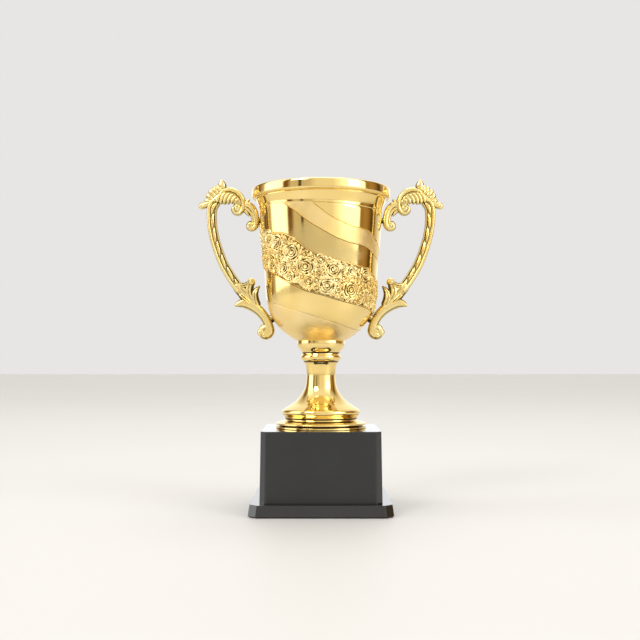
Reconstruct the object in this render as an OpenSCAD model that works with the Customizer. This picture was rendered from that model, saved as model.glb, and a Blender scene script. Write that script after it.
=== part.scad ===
// Cup trophy: a gold-plated cup with two scroll handles, clamped by one
// threaded rod to a black plinth. Millimetres, +Z up, origin at the centre
// of the underside, handles along X, blank plate facing -Y.

/* [Plinth and tray] */
// Width of the foot tray at its bottom edge
tray_w = 92; // [86:1:100]
// Height of the foot tray's top above the table
tray_top_z = 8; // [7:0.5:12]
// Width of the plinth where it meets the tray
plinth_w = 78; // [74:1:82]
// How much narrower the plinth is at its top
plinth_draft = 1.5; // [0.5:0.5:3]
// Height of the plinth's top above the table
plinth_top_z = 53.5; // [50:0.5:60]
// Wall thickness of the two plastic mouldings
shell_wall = 2.5; // [2:0.1:3]
// Thickness of the felt under the tray
felt_t = 0.8; // [0.5:0.1:1.5]
// Size across of the square ballast slab
ballast_w = 50; // [40:1:50]
// Thickness of the ballast slab
ballast_t = 10; // [6:1:14]

/* [Name plate] */
// Width of the blank plate
plate_w = 69; // [50:1:70]
// Height of the blank plate
plate_h = 44; // [30:1:44]
// Thickness of the blank plate
plate_t = 0.6; // [0.4:0.1:1]
// Thickness of the adhesive film behind it
film_t = 0.15; // [0.1:0.05:0.3]

/* [Cup] */
// Wall thickness of the bowl
bowl_wall = 1.8; // [1.5:0.1:2]
// Radius of the rim's lip
lip_r = 46.2; // [45.5:0.1:47]
// Wall thickness of the hollow stem
stem_wall = 2.2; // [1.8:0.1:2.6]

/* [Handles] */
// Half thickness of the arms, front to back
arm_half_t = 3.6; // [3:0.1:4.5]
// Half thickness of the leaves, front to back
leaf_half_t = 2.8; // [2:0.1:3.5]

/* [Fasteners] */
// Radius of the tie rod
rod_r = 3; // [2.5:0.1:3]
// Radius of the handle screws' shanks
screw_r = 1.45; // [1.2:0.05:1.5]
// How far a handle screw reaches past the bowl's outer face
screw_bite = 4; // [3:0.5:4]

/* [Hidden] */

round_fn = 96;
small_fn = 32;
eps = 0.01;

// Base
tray_draft = 2;
tray_chamfer = 5;
plinth_chamfer = 3.2;
tray_plate_t = 3;
tray_rib_t = 1.6;
tray_rib_pitch = 22;
boss_r = 4.5;
boss_at = 31;
base_screw_len = 12;
base_screw_head_r = 3.2;
base_screw_head_h = 1.8;
pilot_gap = 0.1;
locator_len = 30;
locator_h = 2;
locator_gap = 0.35;
plinth_h = plinth_top_z - tray_top_z;
plinth_top_w = plinth_w - plinth_draft;
draft_angle = atan(plinth_draft / 2 / plinth_h);

// Heights of the gold stack
ring_top_z = 56;
stem_top_z = 98;
stem_roof_z = 94;
stem_mouth_r = 21;
knop_top_z = 103.6;
bowl_base_z = 111.6;
floor_z = 114.2;
rim_z = 212.7;

// Rod, nuts and washers
rod_gap = 0.08;
rod_clear = 0.4;
rod_low_z = 30;
rod_high_z = 125;
gasket_t = 1;
washer_t = 1.6;
nut_h = 5;
nut_r = 5.77;
under_ballast_z = plinth_top_z - shell_wall - ballast_t;

// Outer faces, from the bottom up, as [radius, height]
STEM_FLANGE = [[30.3, 56], [30.3, 56.8]];
STEM_LINE = [
    [30, 57.1], [27.4, 57.9], [24.6, 58.9], [24.1, 60.2], [24.6, 61.6], [25.8, 63],
    [26.1, 64.6], [25.3, 65.9], [22.6, 67.6], [18.4, 70.2], [14.6, 73.9], [12, 77.6],
    [10.4, 81.4], [9.7, 86.5], [9.7, 91.3], [10.3, 95], [11.4, 97.2], [11.8, 98]
];
KNOP_LINE = [
    [11.8, 98], [12.7, 98.7], [13.4, 100], [13.4, 101.4], [12.7, 102.6], [12.5, 103.6]
];
COLLAR_LINE = [
    [12.5, 103.6], [13.2, 104.6], [14.8, 106.6], [15.7, 108.4], [15.9, 110], [15.8, 111.6]
];
BOWL_LINE = [
    [15.8, 111.6], [19.4, 113.6], [24.4, 117.2], [28.9, 121.6], [32.1, 126.2], [34.5, 131],
    [36.1, 137.6], [36.9, 145.6], [37.6, 158.6], [38.6, 170], [39.5, 180], [40.3, 189.3],
    [41, 198.7], [42.4, 203], [44.5, 206.6]
];

// Centre lines of the handle's members on the +X side, as [radius, height, half width]
MAIN_ARM = [
    [71, 206.5, 4], [73.8, 200, 3.8], [73.6, 190.6, 3.4], [72.1, 181.5, 3.3], [69.5, 172.6, 3.3],
    [65.7, 163.3, 3.3], [61.1, 156, 3.4], [57, 150, 3.6], [53, 145, 4]
];
TOP_ARM = [
    [70, 206.6, 4.2], [63.6, 208.8, 5.4], [58.8, 209, 5.2], [55.2, 206.9, 4.2],
    [53.2, 203.2, 3.1], [53.6, 200.2, 2.8]
];
LINK_SCROLL = [
    [51.5, 201.6, 2.4], [48.3, 202.5, 2.7], [45.2, 199.6, 2.7], [43.1, 196, 2.5],
    [42.6, 191.6, 2.4], [43.6, 188.4, 2.5], [46, 187.2, 2.6]
];
SPUR = [
    [65, 213.4, 2.2], [68.8, 209.9, 2.2], [73.5, 206, 2.1], [77.5, 203.6, 1.9], [80.6, 202.4, 1.8]
];
LOWER_STEM = [
    [51, 142.8, 4], [46.2, 138.2, 3.4], [41.6, 134.1, 2.9], [37.6, 130, 2.9],
    [34.6, 126, 3], [32.8, 121.5, 3.1], [33, 117.7, 3], [35.6, 115.4, 2.9]
];
// Leaf tips and ball ends: [from radius, height, size], [to radius, height, size]
CREST_LEAF = [
    [[69.5, 208.5, 3.6], [67.4, 218.9, 1.3]],
    [[69.5, 208.5, 3.6], [71, 214.4, 1.2]],
    [[70.5, 208, 3.6], [74.4, 213.2, 1.2]],
    [[71.5, 207.5, 3.4], [76.8, 209.6, 1.1]]
];
LEAF_CLUSTER = [
    [[53, 145.5, 4], [46, 153.2, 1.9]],
    [[50.5, 143, 4], [41.9, 148.6, 1.3]],
    [[47.5, 140, 3.4], [42.3, 146.6, 1.6]],
    [[51.5, 142, 3.8], [56.6, 136.8, 1.6]],
    [[46.5, 139, 3.2], [52.6, 138.3, 2]]
];
BALL_ENDS = [
    [[55.4, 199.6, 4.2], [54.6, 201, 3.4]],
    [[46, 187.6, 3.4], [46.8, 188.2, 2.6]],
    [[80.9, 202.2, 2.3], [79, 203.2, 1.9]],
    [[38.9, 118.1, 3], [36.1, 116.2, 3.2]]
];

// Handle screws: [radius and height on the bowl's outer face, tilt below the horizontal]
UPPER_SCREW = [40.4, 191.6, 0];
LOWER_SCREW = [31.8, 125.7, 31];
pad_r = 4.4;
pad_proud = 0.4;
head_r = 2.9;
head_h = 2;
small_washer_r = 3.8;
small_washer_t = 0.6;
handle_gap = 0.05;

// A point between p1 and p2 on the smooth curve through p0, p1, p2 and p3
function curve_point(p0, p1, p2, p3, t) =
    p1 + (p2 - p0) * t / 2 + (2 * p0 - 5 * p1 + 4 * p2 - p3) * t * t / 2
    + (3 * p1 - p0 - 3 * p2 + p3) * t * t * t / 2;

// The smooth curve through a list of points, cut into steps between each two
function smooth(pts, steps) = [
    for (i = [0 : len(pts) - 2])
        for (s = [0 : (i == len(pts) - 2 ? steps : steps - 1)])
            curve_point(pts[max(i - 1, 0)], pts[i], pts[i + 1],
                        pts[min(i + 2, len(pts) - 1)], s / steps)
];

// A line moved inwards, towards the axis, by a wall's thickness
function inset(line, wall) = [
    for (i = [0 : len(line) - 1])
        let (a = line[max(i - 1, 0)], b = line[min(i + 1, len(line) - 1)], t = (b - a) / norm(b - a))
            line[i] + wall * [-t[1], t[0]]
];

// The bowl's whole outer outline, grown sideways by a gap
function bowl_outline(gap) = concat(
    [for (p = smooth(BOWL_LINE, 3)) p + [gap, 0]],
    [[lip_r - 0.8 + gap, 206.6], [lip_r + gap, 208.4], [lip_r + gap, rim_z - 1]]
);

function reversed(list) = [for (i = [len(list) - 1 : -1 : 0]) list[i]];

// A block whose four sides and four corner chamfers all lean inwards
module drafted_block(low_w, top_w, chamfer, h) {
    intersection_for (turn = [0 : 45 : 135]) {
        across = turn % 90 == 0 ? 1 : sqrt(2);
        cut = turn % 90 == 0 ? 0 : chamfer;
        a = across * (low_w - cut) / 2;
        b = across * (top_w - cut) / 2;
        rotate([90, 0, turn])
            linear_extrude(height = 2 * low_w, center = true)
                polygon([[-a, 0], [a, 0], [b, h], [-b, h]]);
    }
}

// Four copies, one in each corner
module at_corners(d) {
    for (x = [-d, d], y = [-d, d])
        translate([x, y, 0]) children();
}

module disc(r, low, high) {
    translate([0, 0, low]) cylinder(r = r, h = high - low, $fn = round_fn);
}

module rod_hole(low, high, r) {
    translate([0, 0, low - eps]) cylinder(r = r, h = high - low + 2 * eps, $fn = small_fn);
}

module lathe(points) {
    rotate_extrude($fn = round_fn) polygon(points);
}

// A flat ring on the rod
module washer(r, low, t) {
    difference() {
        disc(r, low, low + t);
        rod_hole(low, low + t, rod_r + rod_clear);
    }
}

module hex_nut(low) {
    difference() {
        translate([0, 0, low]) cylinder(r = nut_r, h = nut_h, $fn = 6);
        rod_hole(low, low + nut_h, rod_r);
    }
}

// Base

module felt_pad() {
    color("darkgreen")
        drafted_block(tray_w - 2, tray_w - 2, tray_chamfer, felt_t);
}

module tray_ribs() {
    for (turn = [0, 90], i = [-1 : 1])
        rotate(turn)
            translate([-tray_w / 2 + 2, i * tray_rib_pitch - tray_rib_t / 2, felt_t])
                cube([tray_w - 4, tray_rib_t, tray_top_z - felt_t - 1]);
}

module foot_tray() {
    low_in = tray_w - 2 * shell_wall;
    head_z = felt_t + base_screw_head_h + 0.6;
    color("black") difference() {
        union() {
            difference() {
                translate([0, 0, felt_t])
                    drafted_block(tray_w, tray_w - tray_draft, tray_chamfer, tray_top_z - felt_t);
                translate([0, 0, felt_t - eps])
                    drafted_block(low_in, low_in - 1, tray_chamfer - 1,
                                  tray_top_z - tray_plate_t - felt_t);
            }
            tray_ribs();
            at_corners(boss_at) disc(boss_r + 1, felt_t, tray_top_z);
            for (turn = [0 : 90 : 270])
                rotate(turn)
                    translate([-locator_len / 2, plinth_w / 2 - shell_wall - locator_gap - tray_rib_t,
                               tray_top_z - eps])
                        cube([locator_len, tray_rib_t, locator_h]);
        }
        at_corners(boss_at) {
            rod_hole(felt_t, head_z, base_screw_head_r + 0.3);
            rod_hole(felt_t, tray_top_z, screw_r + 0.4);
        }
    }
}

module plinth() {
    low_in = plinth_w - 2 * shell_wall;
    color("black") difference() {
        union() {
            difference() {
                translate([0, 0, tray_top_z])
                    drafted_block(plinth_w, plinth_top_w, plinth_chamfer, plinth_h);
                translate([0, 0, tray_top_z - eps])
                    drafted_block(low_in, low_in - plinth_draft, plinth_chamfer - 1,
                                  plinth_h - shell_wall + eps);
            }
            at_corners(boss_at) disc(boss_r, tray_top_z, plinth_top_z - shell_wall / 2);
            at_corners(boss_at + boss_r)
                translate([0, 0, (tray_top_z + plinth_top_z) / 2 + 3])
                    cube([2, 2, plinth_h - 9], center = true);
        }
        at_corners(boss_at)
            rod_hole(tray_top_z, tray_top_z + base_screw_len + 2, screw_r + pilot_gap);
        rod_hole(plinth_top_z - shell_wall, plinth_top_z, rod_r + rod_gap);
    }
}

module ballast() {
    color("dimgray") difference() {
        translate([0, 0, under_ballast_z])
            drafted_block(ballast_w, ballast_w, 4, ballast_t);
        rod_hole(under_ballast_z, under_ballast_z + ballast_t, rod_r + rod_clear);
    }
}

module base_screws() {
    head_top = felt_t + 0.6 + base_screw_head_h;
    color("silver") at_corners(boss_at) {
        disc(base_screw_head_r, felt_t + 0.6, head_top);
        disc(screw_r, head_top - eps, tray_top_z + base_screw_len);
    }
}

// Children drawn on the plinth's leaning front face, with y = 0 on the face
module on_front_face() {
    translate([0, -plinth_w / 2, tray_top_z]) rotate([-draft_angle, 0, 0]) children();
}

module name_plate() {
    color("darkslategray") on_front_face()
        translate([-plate_w / 2, -film_t - plate_t, (plinth_h - plate_h) / 2])
            cube([plate_w, plate_t, plate_h]);
}

module plate_adhesive() {
    color("white") on_front_face()
        translate([-plate_w / 2 + 1, -film_t, (plinth_h - plate_h) / 2 + 1])
            cube([plate_w - 2, film_t, plate_h - 2]);
}

// Gold stack

module seat_ring() {
    color("gold") lathe([
        [20, plinth_top_z], [30.2, plinth_top_z], [30.2, plinth_top_z + 2],
        [28.5, plinth_top_z + 2], [28.5, ring_top_z], [20, ring_top_z]
    ]);
}

module stem() {
    inner_line = inset(smooth(STEM_LINE, 2), stem_wall);
    cavity = [for (p = inner_line) if (p[1] > ring_top_z + 6 && p[1] < stem_roof_z) p];
    color("gold") difference() {
        lathe(concat([[0, ring_top_z]], STEM_FLANGE, smooth(STEM_LINE, 2), [[0, stem_top_z]]));
        lathe(concat([[0, ring_top_z - 1], [stem_mouth_r, ring_top_z - 1]], cavity, [[0, stem_roof_z]]));
        rod_hole(ring_top_z, stem_top_z, rod_r + rod_clear);
    }
}

// A solid turned ring on the rod, with a hole through it
module turned_ring(line, low, high) {
    difference() {
        lathe(concat([[0, low]], smooth(line, 2), [[0, high]]));
        rod_hole(low, high, rod_r + rod_clear);
    }
}

module knop() {
    color("gold") turned_ring(KNOP_LINE, stem_top_z, knop_top_z);
}

module collar() {
    color("gold") turned_ring(COLLAR_LINE, knop_top_z, bowl_base_z);
}

// Children drawn along a handle screw: z runs outwards from the bowl's outer face
module along_screw(place, side) {
    rotate([0, 0, side > 0 ? 0 : 180])
        translate([place[0], 0, place[1]])
            rotate([0, 90 + place[2], 0]) children();
}

module at_each_screw() {
    for (side = [-1, 1], place = [UPPER_SCREW, LOWER_SCREW])
        along_screw(place, side) children();
}

module bowl() {
    inner_line = [for (p = inset(smooth(BOWL_LINE, 3), bowl_wall)) if (p[1] > floor_z + 0.5) p];
    color("gold") difference() {
        union() {
            lathe(concat(
                [[0, bowl_base_z]], bowl_outline(0),
                [[lip_r - 0.5, rim_z - 0.2], [lip_r - 1.2, rim_z], [lip_r - 1.9, rim_z - 0.3],
                 [lip_r - 2.4, rim_z - 1.2]],
                reversed(inner_line), [[inner_line[0][0] - 2.2, floor_z], [0, floor_z]]
            ));
            at_each_screw()
                translate([0, 0, -bowl_wall - pad_proud])
                    cylinder(r = pad_r, h = bowl_wall, $fn = small_fn);
        }
        rod_hole(bowl_base_z, floor_z, rod_r + rod_clear);
        at_each_screw()
            translate([0, 0, -bowl_wall - 3])
                cylinder(r = screw_r + 0.25, h = bowl_wall + 6, $fn = small_fn);
    }
}

// Handles

// A curved member of oval section: pts are [radius, height, half width]
module member(pts, half_t) {
    sides = 10;
    path = smooth(pts, 3);
    n = len(path);
    rings = [
        for (i = [0 : n - 1])
            let (a = path[max(i - 1, 0)], b = path[min(i + 1, n - 1)],
                 t = [b[0] - a[0], b[1] - a[1]] / norm([b[0] - a[0], b[1] - a[1]]), p = path[i])
                for (k = [0 : sides - 1])
                    let (w = p[2] * cos(360 * k / sides),
                         d = min(half_t, p[2] * 1.2) * sin(360 * k / sides))
                        [p[0] - w * t[1], d, p[1] + w * t[0]]
    ];
    skin = [
        for (i = [0 : n - 2], k = [0 : sides - 1])
            let (k2 = (k + 1) % sides)
                [i * sides + k, i * sides + k2, (i + 1) * sides + k2, (i + 1) * sides + k]
    ];
    polyhedron(rings, concat(skin, [
        [for (k = [sides - 1 : -1 : 0]) k], [for (k = [0 : sides - 1]) (n - 1) * sides + k]
    ]), convexity = 6);
}

module flat_ball(p, half_t) {
    translate([p[0], 0, p[1]])
        scale([1, min(1, half_t / p[2]), 1]) sphere(r = p[2], $fn = 12);
}

// A blunt tapering leaf or ball end between two places
module leaf(ends, half_t) {
    hull() {
        flat_ball(ends[0], half_t);
        flat_ball(ends[1], half_t);
    }
}

// The handle on the +X side
module handle() {
    difference() {
        union() {
            for (line = [MAIN_ARM, TOP_ARM, LINK_SCROLL, SPUR, LOWER_STEM])
                member(line, arm_half_t);
            for (ends = CREST_LEAF) leaf(ends, leaf_half_t);
            for (ends = LEAF_CLUSTER) leaf(ends, leaf_half_t);
            for (ends = BALL_ENDS) leaf(ends, arm_half_t);
            for (place = [UPPER_SCREW, LOWER_SCREW])
                along_screw(place, 1)
                    translate([0, 0, -1]) cylinder(r = 2.6, h = screw_bite + 2, $fn = small_fn);
        }
        lathe(concat([[0, bowl_base_z]], bowl_outline(handle_gap), [[0, rim_z]]));
        for (place = [UPPER_SCREW, LOWER_SCREW])
            along_screw(place, 1)
                translate([0, 0, -2])
                    cylinder(r = screw_r + pilot_gap, h = screw_bite + 2.3, $fn = 24);
    }
}

module handle_right() {
    color("gold") handle();
}

module handle_left() {
    color("gold") mirror([1, 0, 0]) handle();
}

module handle_screws() {
    back = bowl_wall + pad_proud + small_washer_t;
    color("silver") at_each_screw() {
        translate([0, 0, -back - head_h]) cylinder(r = head_r, h = head_h, $fn = small_fn);
        translate([0, 0, -back - eps]) cylinder(r = screw_r, h = back + screw_bite, $fn = small_fn);
    }
}

module handle_washers() {
    back = bowl_wall + pad_proud + small_washer_t;
    color("silver") at_each_screw() difference() {
        translate([0, 0, -back]) cylinder(r = small_washer_r, h = small_washer_t, $fn = small_fn);
        translate([0, 0, -back - 1]) cylinder(r = screw_r + 0.2, h = 4, $fn = small_fn);
    }
}

// Rod and its hardware

module tie_rod() {
    color("silver") disc(rod_r, rod_low_z, rod_high_z);
}

module gasket() {
    color("dimgray") washer(12, floor_z, gasket_t);
}

module top_washer() {
    color("silver") washer(11, floor_z + gasket_t, washer_t);
}

module top_nut() {
    color("silver") hex_nut(floor_z + gasket_t + washer_t);
}

module lower_washer() {
    color("silver") washer(9, under_ballast_z - washer_t, washer_t);
}

module lock_washer() {
    color("silver") washer(5.5, under_ballast_z - 2 * washer_t, washer_t);
}

module lower_nut() {
    color("silver") hex_nut(under_ballast_z - 2 * washer_t - nut_h);
}

felt_pad();
foot_tray();
plinth();
ballast();
base_screws();
name_plate();
plate_adhesive();
seat_ring();
stem();
knop();
collar();
bowl();
handle_left();
handle_right();
handle_screws();
handle_washers();
tie_rod();
gasket();
top_washer();
top_nut();
lower_washer();
lock_washer();
lower_nut();
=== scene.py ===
import math
import bpy
import numpy as np
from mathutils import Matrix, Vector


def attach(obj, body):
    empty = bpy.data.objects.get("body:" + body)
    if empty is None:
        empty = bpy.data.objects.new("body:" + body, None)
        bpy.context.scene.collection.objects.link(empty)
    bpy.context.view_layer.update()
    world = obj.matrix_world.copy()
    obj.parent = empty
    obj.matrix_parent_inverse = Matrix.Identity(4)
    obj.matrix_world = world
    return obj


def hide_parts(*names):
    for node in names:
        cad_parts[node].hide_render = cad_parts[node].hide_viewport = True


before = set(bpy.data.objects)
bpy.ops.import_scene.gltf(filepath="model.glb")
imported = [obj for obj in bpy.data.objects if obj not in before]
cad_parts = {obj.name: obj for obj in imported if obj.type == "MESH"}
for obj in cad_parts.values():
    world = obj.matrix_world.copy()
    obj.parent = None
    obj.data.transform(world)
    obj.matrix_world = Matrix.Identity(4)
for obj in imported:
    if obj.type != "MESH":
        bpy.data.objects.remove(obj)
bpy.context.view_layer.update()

MM = 0.001
TURN = 2 * math.pi
rng = np.random.default_rng(11)


# ---------------------------------------------------------------- mesh tools
class Form:
    """Gathers the closed parts of one piece, in millimetres."""

    def __init__(self):
        self.verts, self.faces, self.relief, self.mats = [], [], [], []
        self.count = 0

    def add(self, verts, faces, relief):
        """One closed part, turned the right way out: faces are blocks of triangles or quads."""
        mid = verts - verts.mean(0)
        volume = 0.0
        for block in faces:
            for k in range(1, block.shape[1] - 1):
                a, b, c = mid[block[:, 0]], mid[block[:, k]], mid[block[:, k + 1]]
                volume += float((a * np.cross(b, c)).sum())
        if volume < 0:
            faces = [block[:, ::-1] for block in faces]
        self.verts.append(verts)
        self.relief.append(relief)
        for block in faces:
            self.faces.extend((block + self.count).tolist())
            self.mats.extend([0] * len(block))
        self.count += len(verts)

    def tube(self, rings, pole_a=None, pole_b=None, relief=None, loop=False):
        """Rings of points (K, S, 3), closed by a pole at each end or into a loop."""
        rings = np.asarray(rings, float)
        k, s = rings.shape[:2]
        idx = np.arange(k * s).reshape(k, s)
        nxt = np.roll(idx, -1, 1)
        lower, upper = (idx, np.roll(idx, -1, 0)) if loop else (idx[:-1], idx[1:])
        low_n, up_n = (nxt, np.roll(nxt, -1, 0)) if loop else (nxt[:-1], nxt[1:])
        faces = [np.stack([lower, low_n, up_n, upper], -1).reshape(-1, 4)]
        verts = [rings.reshape(-1, 3)]
        rel = [np.ones(k * s) if relief is None else np.asarray(relief, float).reshape(-1)]
        n = k * s
        for pole, ring, flip in ((pole_a, idx[0], True), (pole_b, idx[-1], False)):
            if pole is None:
                continue
            tri = np.stack([ring, np.roll(ring, -1), np.full(s, n)], -1)
            faces.append(tri[:, ::-1] if flip else tri)
            verts.append(np.asarray(pole, float).reshape(1, 3))
            rel.append(rel[0][ring].mean().reshape(1))
            n += 1
        self.add(np.vstack(verts), faces, np.concatenate(rel))

    def mirrored(self):
        other = Form()
        other.verts = [v * [-1, 1, 1] for v in self.verts]
        other.faces = [f[::-1] for f in self.faces]
        other.relief, other.mats, other.count = self.relief, self.mats, self.count
        return other

    def piece(self, name, body, slot, mats, replaced=(), sharp=42):
        mesh = bpy.data.meshes.new(name)
        mesh.from_pydata((np.vstack(self.verts) * MM).tolist(), [], self.faces)
        for m in mats:
            mesh.materials.append(m)
        mesh.polygons.foreach_set("material_index", np.array(self.mats, np.int32))
        # A per-vertex shade value for the gold materials: 1 unshaded, 0 full painted shade
        mesh.attributes.new("relief", "FLOAT", "POINT").data.foreach_set(
            "value", np.concatenate(self.relief).astype(np.float32))
        mesh.polygons.foreach_set("use_smooth", np.ones(len(self.faces), bool))
        mesh.set_sharp_from_angle(angle=math.radians(sharp))
        mesh.update()
        obj = bpy.data.objects.new(name, mesh)
        bpy.context.scene.collection.objects.link(obj)
        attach(obj, body)
        if replaced:
            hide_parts(*replaced)
        return obj


def smooth_line(points, steps):
    """The smooth curve through the points, in steps between each two."""
    p = np.array(points, float)
    e = np.vstack([p[:1], p, p[-1:]])
    t = (np.arange(steps) / steps)[:, None]
    out = []
    for i in range(len(p) - 1):
        a, b, c, d = e[i:i + 4]
        out.append(0.5 * (2 * b + (c - a) * t + (2 * a - 5 * b + 4 * c - d) * t ** 2
                          + (3 * b - a - 3 * c + d) * t ** 3))
    out.append(p[-1:])
    return np.vstack(out)


def ramp(x, low, high):
    """0 below low, 1 above high, smooth between."""
    t = np.clip((x - low) / (high - low), 0, 1)
    return t * t * (3 - 2 * t)


def lathe(form, line, sides=144, grooves=()):
    """A closed outline of (radius, height) points turned about the axis.

    Shade is painted along each groove, which is (height, half width).
    """
    line = np.array(line, float)
    a = np.linspace(0, TURN, sides, endpoint=False)
    on_axis = line[:, 0] < 1e-6
    ring_pts = line[~on_axis]
    rings = np.stack([ring_pts[:, :1] * np.sin(a), -ring_pts[:, :1] * np.cos(a),
                      np.repeat(ring_pts[:, 1:2], sides, 1)], -1)
    shade = np.ones(len(ring_pts))
    for height, half in grooves:
        shade = np.minimum(shade, np.clip(np.abs(ring_pts[:, 1] - height) / half - 0.6, 0, 1))
    relief = np.repeat(shade[:, None], sides, 1)
    if on_axis.any():
        form.tube(rings, [0, 0, line[0, 1]], [0, 0, line[-1, 1]], relief)
    else:
        form.tube(rings, relief=relief, loop=True)


def round_corners(line, radius=0.25, steps=3):
    """A closed outline with each corner softened."""
    p = np.array(line, float)
    out = []
    for i in range(len(p)):
        a, b, c = p[i - 1], p[i], p[(i + 1) % len(p)]
        u, v = a - b, c - b
        lu, lv = np.linalg.norm(u), np.linalg.norm(v)
        cut = min(radius, lu * 0.4, lv * 0.4)
        cos = float(u @ v / (lu * lv))
        if cos < -0.97 or b[0] < 1e-6:
            out.append(b)
            continue
        s, e = b + u / lu * cut, b + v / lv * cut
        for t in np.linspace(0, 1, steps + 1):
            out.append((1 - t) ** 2 * s + 2 * t * (1 - t) * b + t * t * e)
    return np.array(out)


# ----------------------------------------------------------------- materials
def nodes_of(name):
    mat = bpy.data.materials.new(name)
    mat.use_nodes = True
    tree = mat.node_tree
    return mat, tree, tree.nodes["Principled BSDF"]


def object_coords(tree, stretch=(1, 1, 1)):
    coord = tree.nodes.new("ShaderNodeTexCoord")
    mapping = tree.nodes.new("ShaderNodeMapping")
    mapping.inputs["Scale"].default_value = stretch
    tree.links.new(coord.outputs["Object"], mapping.inputs["Vector"])
    return mapping.outputs["Vector"]


def noise(tree, vector, scale, detail=3.0, rough=0.5):
    n = tree.nodes.new("ShaderNodeTexNoise")
    n.inputs["Scale"].default_value = scale
    n.inputs["Detail"].default_value = detail
    n.inputs["Roughness"].default_value = rough
    tree.links.new(vector, n.inputs["Vector"])
    return n.outputs["Fac"]


def span(tree, value, low, high, out_low, out_high):
    n = tree.nodes.new("ShaderNodeMapRange")
    ends = {"From Min": low, "From Max": high, "To Min": out_low, "To Max": out_high}
    for key, v in ends.items():
        n.inputs[key].default_value = v
    tree.links.new(value, n.inputs["Value"])
    return n.outputs["Result"]


def blend_colour(tree, fac, a, b):
    n = tree.nodes.new("ShaderNodeMix")
    n.data_type = "RGBA"
    tree.links.new(fac, n.inputs["Factor"])
    for socket, colour in ((n.inputs[6], a), (n.inputs[7], b)):
        if isinstance(colour, tuple):
            socket.default_value = (*colour, 1)
        else:
            tree.links.new(colour, socket)
    return n.outputs[2]


def bump(tree, height, strength, distance, below=None):
    n = tree.nodes.new("ShaderNodeBump")
    n.inputs["Strength"].default_value = strength
    n.inputs["Distance"].default_value = distance
    tree.links.new(height, n.inputs["Height"])
    if below is not None:
        tree.links.new(below, n.inputs["Normal"])
    return n.outputs["Normal"]


GOLD = (0.945, 0.735, 0.312)
GOLD_WARM = (0.925, 0.685, 0.245)
# The colour of the shade painted into the gold's hollows
GOLD_SHADE = (0.20, 0.12, 0.02)


def gold(name, rough_low, rough_high, grain, grain_depth, wave=0.00004, main=GOLD,
         shade_colour=GOLD_SHADE, open_at=0.8):
    """Plated gold. Its tone drifts slowly, hollows get painted shade, and grain sets the sheen.

    The painted shade is full where the vertex shade value is 0, and gone once it reaches open_at.
    """
    mat, tree, bsdf = nodes_of(name)
    at = object_coords(tree)
    relief = tree.nodes.new("ShaderNodeAttribute")
    relief.attribute_name = "relief"
    tone = blend_colour(tree, span(tree, noise(tree, at, 38, 2), 0.35, 0.7, 0, 1), main, GOLD_WARM)
    # Painted shade: the tone is mixed towards the shade colour where the vertex shade value is low
    shade_mix = span(tree, relief.outputs["Fac"], 0.0, open_at, 0, 1)
    tree.links.new(blend_colour(tree, shade_mix, shade_colour, tone), bsdf.inputs["Base Color"])
    bsdf.inputs["Metallic"].default_value = 1.0
    wipe = noise(tree, at, 120, 4, 0.6)
    tree.links.new(span(tree, wipe, 0.3, 0.75, rough_low, rough_high), bsdf.inputs["Roughness"])
    soft = bump(tree, noise(tree, at, 70, 1), 0.5, wave)
    fine = bump(tree, noise(tree, at, grain, 2, 0.6), 0.6, grain_depth, soft)
    tree.links.new(fine, bsdf.inputs["Normal"])
    return mat


def plain(name, colour, lighter, rough_low, rough_high, grain, depth, stretch=(1, 1, 1),
          metallic=0.0):
    """Moulded, painted or machined stock with a fine surface grain and a wiped sheen."""
    mat, tree, bsdf = nodes_of(name)
    at = object_coords(tree, stretch)
    cloud = noise(tree, object_coords(tree), 45, 4, 0.55)
    tree.links.new(blend_colour(tree, span(tree, cloud, 0.3, 0.7, 0, 1), colour, lighter),
                   bsdf.inputs["Base Color"])
    tree.links.new(span(tree, noise(tree, at, 160, 5, 0.65), 0.3, 0.7, rough_low, rough_high),
                   bsdf.inputs["Roughness"])
    bsdf.inputs["Metallic"].default_value = metallic
    tree.links.new(bump(tree, noise(tree, at, grain, 3), 0.5, depth), bsdf.inputs["Normal"])
    return mat


gold_mirror = gold("gold_mirror", 0.05, 0.12, 900, 0.000004, shade_colour=(0.045, 0.026, 0.005))
gold_satin = gold("gold_satin", 0.32, 0.44, 1500, 0.00007, main=(0.96, 0.755, 0.38))
gold_ground = gold("gold_ground", 0.36, 0.5, 1100, 0.00012, main=(0.95, 0.72, 0.30),
                   shade_colour=(0.15, 0.10, 0.02))
gold_cast = gold("gold_cast", 0.2, 0.3, 800, 0.000012, main=(0.89, 0.76, 0.37),
                 shade_colour=(0.045, 0.028, 0.004))
# The roses' gold is paler than the rest: a painted highlight on the raised petals
gold_rose = gold("gold_rose", 0.24, 0.34, 900, 0.00001, wave=0.00002, main=(0.99, 0.83, 0.44),
                 shade_colour=(0.09, 0.06, 0.012), open_at=0.55)
gold_inside = gold("gold_inside", 0.2, 0.28, 700, 0.00001, wave=0.00001)
black_gloss = plain("black_gloss", (0.004, 0.0056, 0.008), (0.0075, 0.0092, 0.012),
                    0.03, 0.06, 900, 0.000002)
black_bsdf = black_gloss.node_tree.nodes["Principled BSDF"]
black_bsdf.inputs["Coat Weight"].default_value = 0.5
black_bsdf.inputs["Coat Roughness"].default_value = 0.03
plate_paint = plain("plate_paint", (0.0105, 0.0118, 0.0128), (0.0140, 0.0153, 0.0163),
                    0.34, 0.42, 1400, 0.00003, (0.08, 1, 1))
steel_mat = plain("steel", (0.5, 0.5, 0.49), (0.62, 0.62, 0.6), 0.2, 0.38, 1500, 0.00001,
                  (1, 1, 0.1), 1.0)
iron_mat = plain("cast_iron", (0.035, 0.033, 0.031), (0.07, 0.062, 0.055), 0.6, 0.8, 420, 0.0002)
rubber_mat = plain("gasket_rubber", (0.02, 0.02, 0.02), (0.03, 0.03, 0.03),
                   0.6, 0.75, 1300, 0.00004)
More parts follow.
